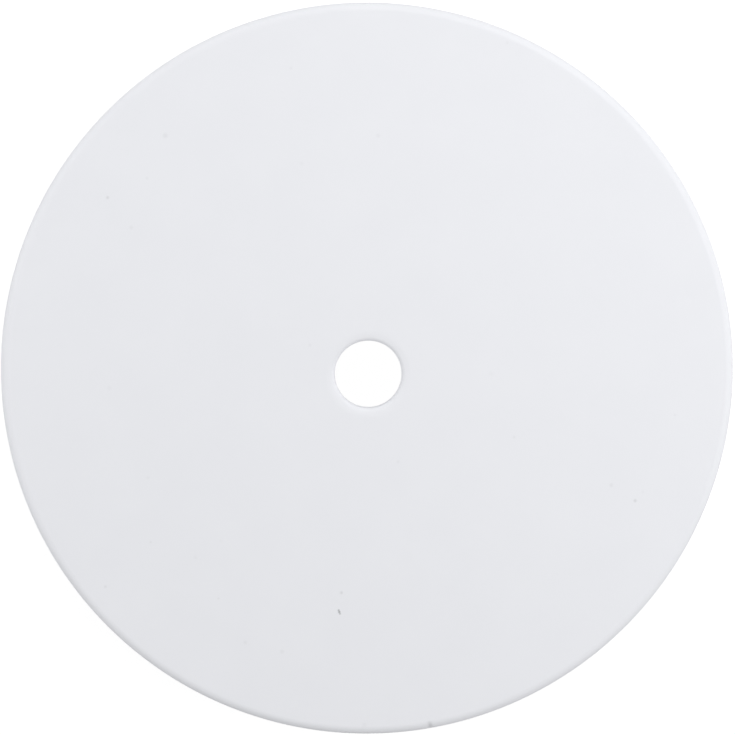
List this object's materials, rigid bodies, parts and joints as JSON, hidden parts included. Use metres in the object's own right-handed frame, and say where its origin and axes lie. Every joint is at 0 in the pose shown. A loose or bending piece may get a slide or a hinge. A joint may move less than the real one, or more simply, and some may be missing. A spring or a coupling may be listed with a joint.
{
  "type": "light fixture ceiling canopy",
  "caption": "Round flat-faced canopy cup with a bent-back skirt and a plunged centre hole, covering the ceiling box of a hanging light.",
  "frame": {"origin": "on the centre hole's axis, in the plane of the skirt's open edge, which is the ceiling plane", "axes": "+Z along the hole's axis, from the ceiling plane out through the face; on a ceiling it points down into the room. X and Y are any two directions across the round face"},
  "size_m": [0.12, 0.12, 0.025],
  "materials": {
    "white_coat": "white powder coat, satin, with fine orange peel"
  },
  "bodies": {
    "root": {"canopy": "white_coat"}
  },
  "joints": []
}
